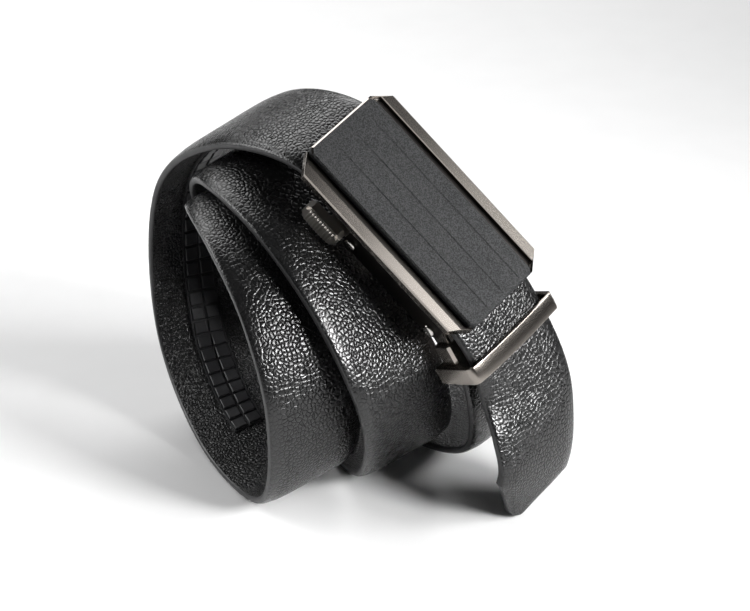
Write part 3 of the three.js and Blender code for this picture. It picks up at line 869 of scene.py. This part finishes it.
def pin(name, along, node):
    inner = wall_outside + seat_gap
    dome = [
        (pin_head_radius * math.sin(a), pin_head_height * (0.35 + 0.65 * math.cos(a)))
        for a in np.radians((0, 20, 40, 60, 80, 90)).tolist()
    ]
    right = [(r, inner + h) for r, h in dome] + [(pin_head_radius, inner), (pin_radius, inner)]
    profile = right + [(r, -y) for r, y in right[::-1]]
    bm = bmesh.new()
    sides = 32
    rings = []
    for radius, y in profile:
        if radius < 1e-9:
            rings.append([bm.verts.new((along, y, -pin_depth))])
            continue
        rings.append([
            bm.verts.new((
                along + radius * math.cos(2 * math.pi * k / sides), y,
                -pin_depth + radius * math.sin(2 * math.pi * k / sides),
            )) for k in range(sides)
        ])
    for low, high in zip(rings, rings[1:]):
        for k in range(sides):
            m = (k + 1) % sides
            if len(low) == 1:
                bm.faces.new((low[0], high[m], high[k]))
            elif len(high) == 1:
                bm.faces.new((low[k], low[m], high[0]))
            else:
                bm.faces.new((low[k], low[m], high[m], high[k]))
    piece = set_piece(name, bm, buckle_matrix, [bright_plating], smooth=True)
    piece.data.set_sharp_from_angle(angle=math.radians(50))
    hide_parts(node)
    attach(piece, "belt")


pin("lever_pin_steel", lever_pin_along, "lever_pin")
pin("clamp_pin_steel", clamp_pin_along, "clamp_pin")


# Release lever
# A cast lever that turns on its pin inside the housing. Its pawl holds the track, and its thumb tab
# stands outside the near wall, bowed and ribbed for grip. A spring, which isn't modelled, pushes the
# pawl home.

hub_radius = 2.7 * mm
pawl_length = 12 * mm
lever_plate = 1.6 * mm
pawl_width = 12 * mm
pawl_thickness = 2.6 * mm
tab_length = 15 * mm
tab_height = 5.4 * mm
tab_thickness = 3.6 * mm
tab_bow = 1.6 * mm
tab_chamfer = 1.6 * mm
tab_round = 1.3 * mm
arm_width = 6 * mm
rib_pitch = 1.1 * mm
rib_width = 0.55 * mm
rib_height = 0.4 * mm

hub_end = wall_inside - slide_gap
plate_top_z = -hub_radius + lever_plate
track_face = pin_depth - channel_drop - strap_thickness / 2 - seat_gap - track_base - tooth_height
tab_near = -wall_outside - tab_thickness
tab_far = -wall_outside + wall_thickness / 2
tab_end = wall_start - lever_pin_along - slide_gap
tab_start = tab_end - tab_length
tab_top = tab_height - hub_radius
arm_start = tab_start + tab_length / 2

bm = bmesh.new()
slab(bm, arc(0, 0, hub_radius, 0, 345, 23), -hub_end, hub_end, 0.2 * mm)
bevelled_box(bm, (-hub_radius, -hub_end, -hub_radius), (pawl_length, hub_end, plate_top_z), 0.3 * mm)
bevelled_box(
    bm, (pawl_length - pawl_thickness, -pawl_width / 2, -hub_radius),
    (pawl_length, pawl_width / 2, track_face - slide_gap), 0.3 * mm,
)
bevelled_box(bm, (arm_start, -hub_end, -hub_radius), (0, -hub_end + arm_width, plate_top_z), 0.3 * mm)
bevelled_box(
    bm, (arm_start, tab_near + tab_thickness / 2, -hub_radius),
    (tab_end, -hub_end + arm_width, plate_top_z), 0.3 * mm,
)
bow = [
    (tab_start + (1 - math.cos(a)) * tab_length / 2, -hub_radius - math.sin(a) * tab_bow)
    for a in [math.pi * i / 16 for i in range(17)]
]
tab_outline = bow + [
    (tab_end, tab_top - tab_chamfer), (tab_end - tab_chamfer, tab_top),
    (tab_start + tab_chamfer, tab_top), (tab_start, tab_top - tab_chamfer),
]
slab(bm, tab_outline, tab_near, tab_far, tab_round)
rib_count = int((tab_length - 2 * tab_chamfer) / rib_pitch)
rib_face = tab_near - rib_height
for i in range(rib_count):
    x = (tab_start + tab_end) / 2 + (i - (rib_count - 1) / 2) * rib_pitch
    bow_drop = math.sin(math.acos(1 - 2 * (x - tab_start) / tab_length)) * tab_bow
    foot = -hub_radius - bow_drop + rib_height
    rounded = arc(rib_face + tab_round, tab_top - tab_round, tab_round, 180, 90, 5)
    outline = [(rib_face, foot), *rounded, (tab_near + tab_round, foot)]
    inner = [(y + 0.12 * mm * (y < tab_near), z) for y, z in outline]
    stack(bm, [
        [(x - rib_width / 2, y, z) for y, z in inner], [(x - rib_width / 4, y, z) for y, z in outline],
        [(x + rib_width / 4, y, z) for y, z in outline], [(x + rib_width / 2, y, z) for y, z in inner],
    ])
lever = set_piece(
    "thumb_lever", bm, buckle_matrix @ Matrix.Translation((lever_pin_along, 0, -pin_depth)), [lever_plating]
)
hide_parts("release_lever")
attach(lever, "lever")


# Clamp
# A folded steel box with polished chamfers that bites on the fixed end of the strap. Its two ears turn on
# the clamp pin between the housing walls.

ear_thickness = 1.5 * mm
ear_radius = 2.9 * mm
clamp_chamfer = 0.9 * mm
clamp_cavity = strap_thickness / 2 + seat_gap
clamp_half_height = clamp_cavity + clamp_wall
clamp_half_width = strap_width / 2 + seat_gap + clamp_wall
clamp_end = clamp_start + clamp_length


def clamp_ring(x, inset, half_width=clamp_half_width, half_height=clamp_half_height, chamfer=clamp_chamfer):
    w, h, c = half_width - inset, half_height - inset, chamfer
    return [(x, y, z) for y, z in (
        (-w + c, -h), (w - c, -h), (w, -h + c), (w, h - c),
        (w - c, h), (-w + c, h), (-w, h - c), (-w, -h + c),
    )]


bm = bmesh.new()
hollow = (strap_width / 2 + seat_gap, clamp_cavity, 0.2 * mm)
stack(bm, [
    clamp_ring(clamp_start, 0.5 * mm), clamp_ring(clamp_start + 0.6 * mm, 0),
    clamp_ring(clamp_end - 0.4 * mm, 0), clamp_ring(clamp_end, 0.3 * mm),
    clamp_ring(clamp_end, 0, *hollow), clamp_ring(clamp_start + clamp_wall, 0, *hollow),
])
for side in (-1, 1):
    low, high = sorted((side * (wall_inside - seat_gap), side * (wall_inside - seat_gap - ear_thickness)))
    slab(bm, [
        *arc(0, 0, ear_radius, 90, 270, 12), (clamp_start + clamp_wall / 2, -ear_radius),
        (clamp_start + clamp_wall / 2, ear_radius),
    ], low, high, 0.3 * mm)
clamp = set_piece("end_clamp", bm, clamp_matrix, [gunmetal])
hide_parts("clamp")
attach(clamp, "belt")


# Keeper
# A polished loop of cast bar fixed round the clamp. The free end of the strap passes under its crowned
# outer bar.

keeper_width = 6 * mm
keeper_wall = 1.8 * mm
keeper_corner = 1.2 * mm
keeper_round = 2.4 * mm
keeper_arch = 0.9 * mm

keeper_inside = clamp_half_width + seat_gap
keeper_bottom = -clamp_half_height - seat_gap
keeper_top = tail_lift + strap_thickness / 2 + slide_gap
keeper_side = keeper_inside + keeper_wall


def keeper_loop(inset):
    """The keeper's outside: its outer bar is arched, rounded at the near end and chamfered at the far end."""
    side = keeper_side - inset
    bottom = keeper_bottom - keeper_wall + inset
    top = keeper_top + keeper_wall - inset
    ends = top - keeper_arch
    near = arc(-side + keeper_round, ends - keeper_round, keeper_round, 180, 110, 6)
    bar = [
        (y, top - keeper_arch * (y / side) ** 2)
        for y in np.linspace(-side + keeper_round, side - keeper_corner, 13)[1:]
    ]
    return near + bar + [(side, ends - keeper_corner), (side, bottom), (-side, bottom)]


def keeper_hole(count):
    """The keeper's inside, with as many points as the outside so that the two join up."""
    across = np.linspace(-keeper_inside, keeper_inside, count - 2)
    corners = [(keeper_inside, keeper_bottom), (-keeper_inside, keeper_bottom)]
    return [(y, keeper_top) for y in across] + corners


bm = bmesh.new()
start, stop = keeper_along - keeper_width / 2, keeper_along + keeper_width / 2
hole = keeper_hole(len(keeper_loop(0)))
bands = [
    (start, keeper_loop(0.35 * mm)), (start + 0.12 * mm, keeper_loop(0.12 * mm)),
    (start + 0.5 * mm, keeper_loop(0.03 * mm)), (keeper_along, keeper_loop(0)),
    (stop - 0.5 * mm, keeper_loop(0.03 * mm)), (stop - 0.12 * mm, keeper_loop(0.12 * mm)),
    (stop, keeper_loop(0.35 * mm)), (stop, hole), (start, hole),
]
loops = [[bm.verts.new((x, y, z)) for y, z in outline] for x, outline in bands]
for i, low in enumerate(loops):
    high = loops[(i + 1) % len(loops)]
    for j in range(len(low)):
        k = (j + 1) % len(low)
        bm.faces.new((low[j], low[k], high[k], high[j]))
keeper = set_piece("keeper_loop", bm, clamp_matrix, [satin_gunmetal], smooth=True)
keeper.data.set_sharp_from_angle(angle=math.radians(28))
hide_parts("keeper")
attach(keeper, "belt")
